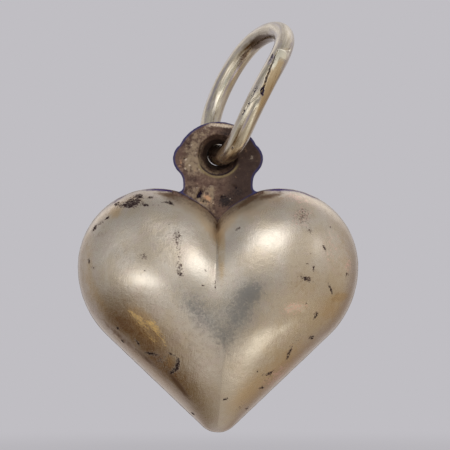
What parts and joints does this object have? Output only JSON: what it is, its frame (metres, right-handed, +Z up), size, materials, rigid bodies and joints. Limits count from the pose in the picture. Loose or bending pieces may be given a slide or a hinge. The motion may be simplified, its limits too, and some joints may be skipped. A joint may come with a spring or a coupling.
{
  "type": "heart pendant",
  "caption": "Puffed silver heart pendant of two pressed shells with a soldered, countersunk lug that swings freely on a round-wire jump ring.",
  "frame": {"origin": "underside of the jump ring's highest point, inside the ring, where a chain bears", "axes": "+Z up along the hanging heart, from the tip to the lug; the front faces -Y; +X to the right seen from the front"},
  "size_m": [0.0178, 0.0097, 0.0261],
  "materials": {
    "front_silver": "worn, warm tarnished silver with dark pits",
    "back_silver": "worn, warm tarnished silver with dark pits",
    "rim_solder": "dull, tarnished silver solder",
    "lug_patina": "rough cast silver under a dark brown patina",
    "lug_solder": "dark brown, blackened silver solder",
    "wire_silver": "drawn wire, rubbed bright, with a warm tarnish",
    "ring_solder": "golden tan silver solder, filed"
  },
  "bodies": {
    "ring": {"jump_ring": "wire_silver", "ring_solder": "ring_solder"},
    "heart": {"heart_front_shell": "front_silver", "heart_back_shell": "back_silver", "rim_solder": "rim_solder", "lug": "lug_patina", "lug_solder": "lug_solder"}
  },
  "joints": [
    {"name": "heart_swing", "type": "hinge", "parent": "ring", "child": "heart", "pos_m": [-0.00354, -0.0009, -0.00727], "axis": [0, 1, 0], "range_deg": [-80, 132]}
  ]
}
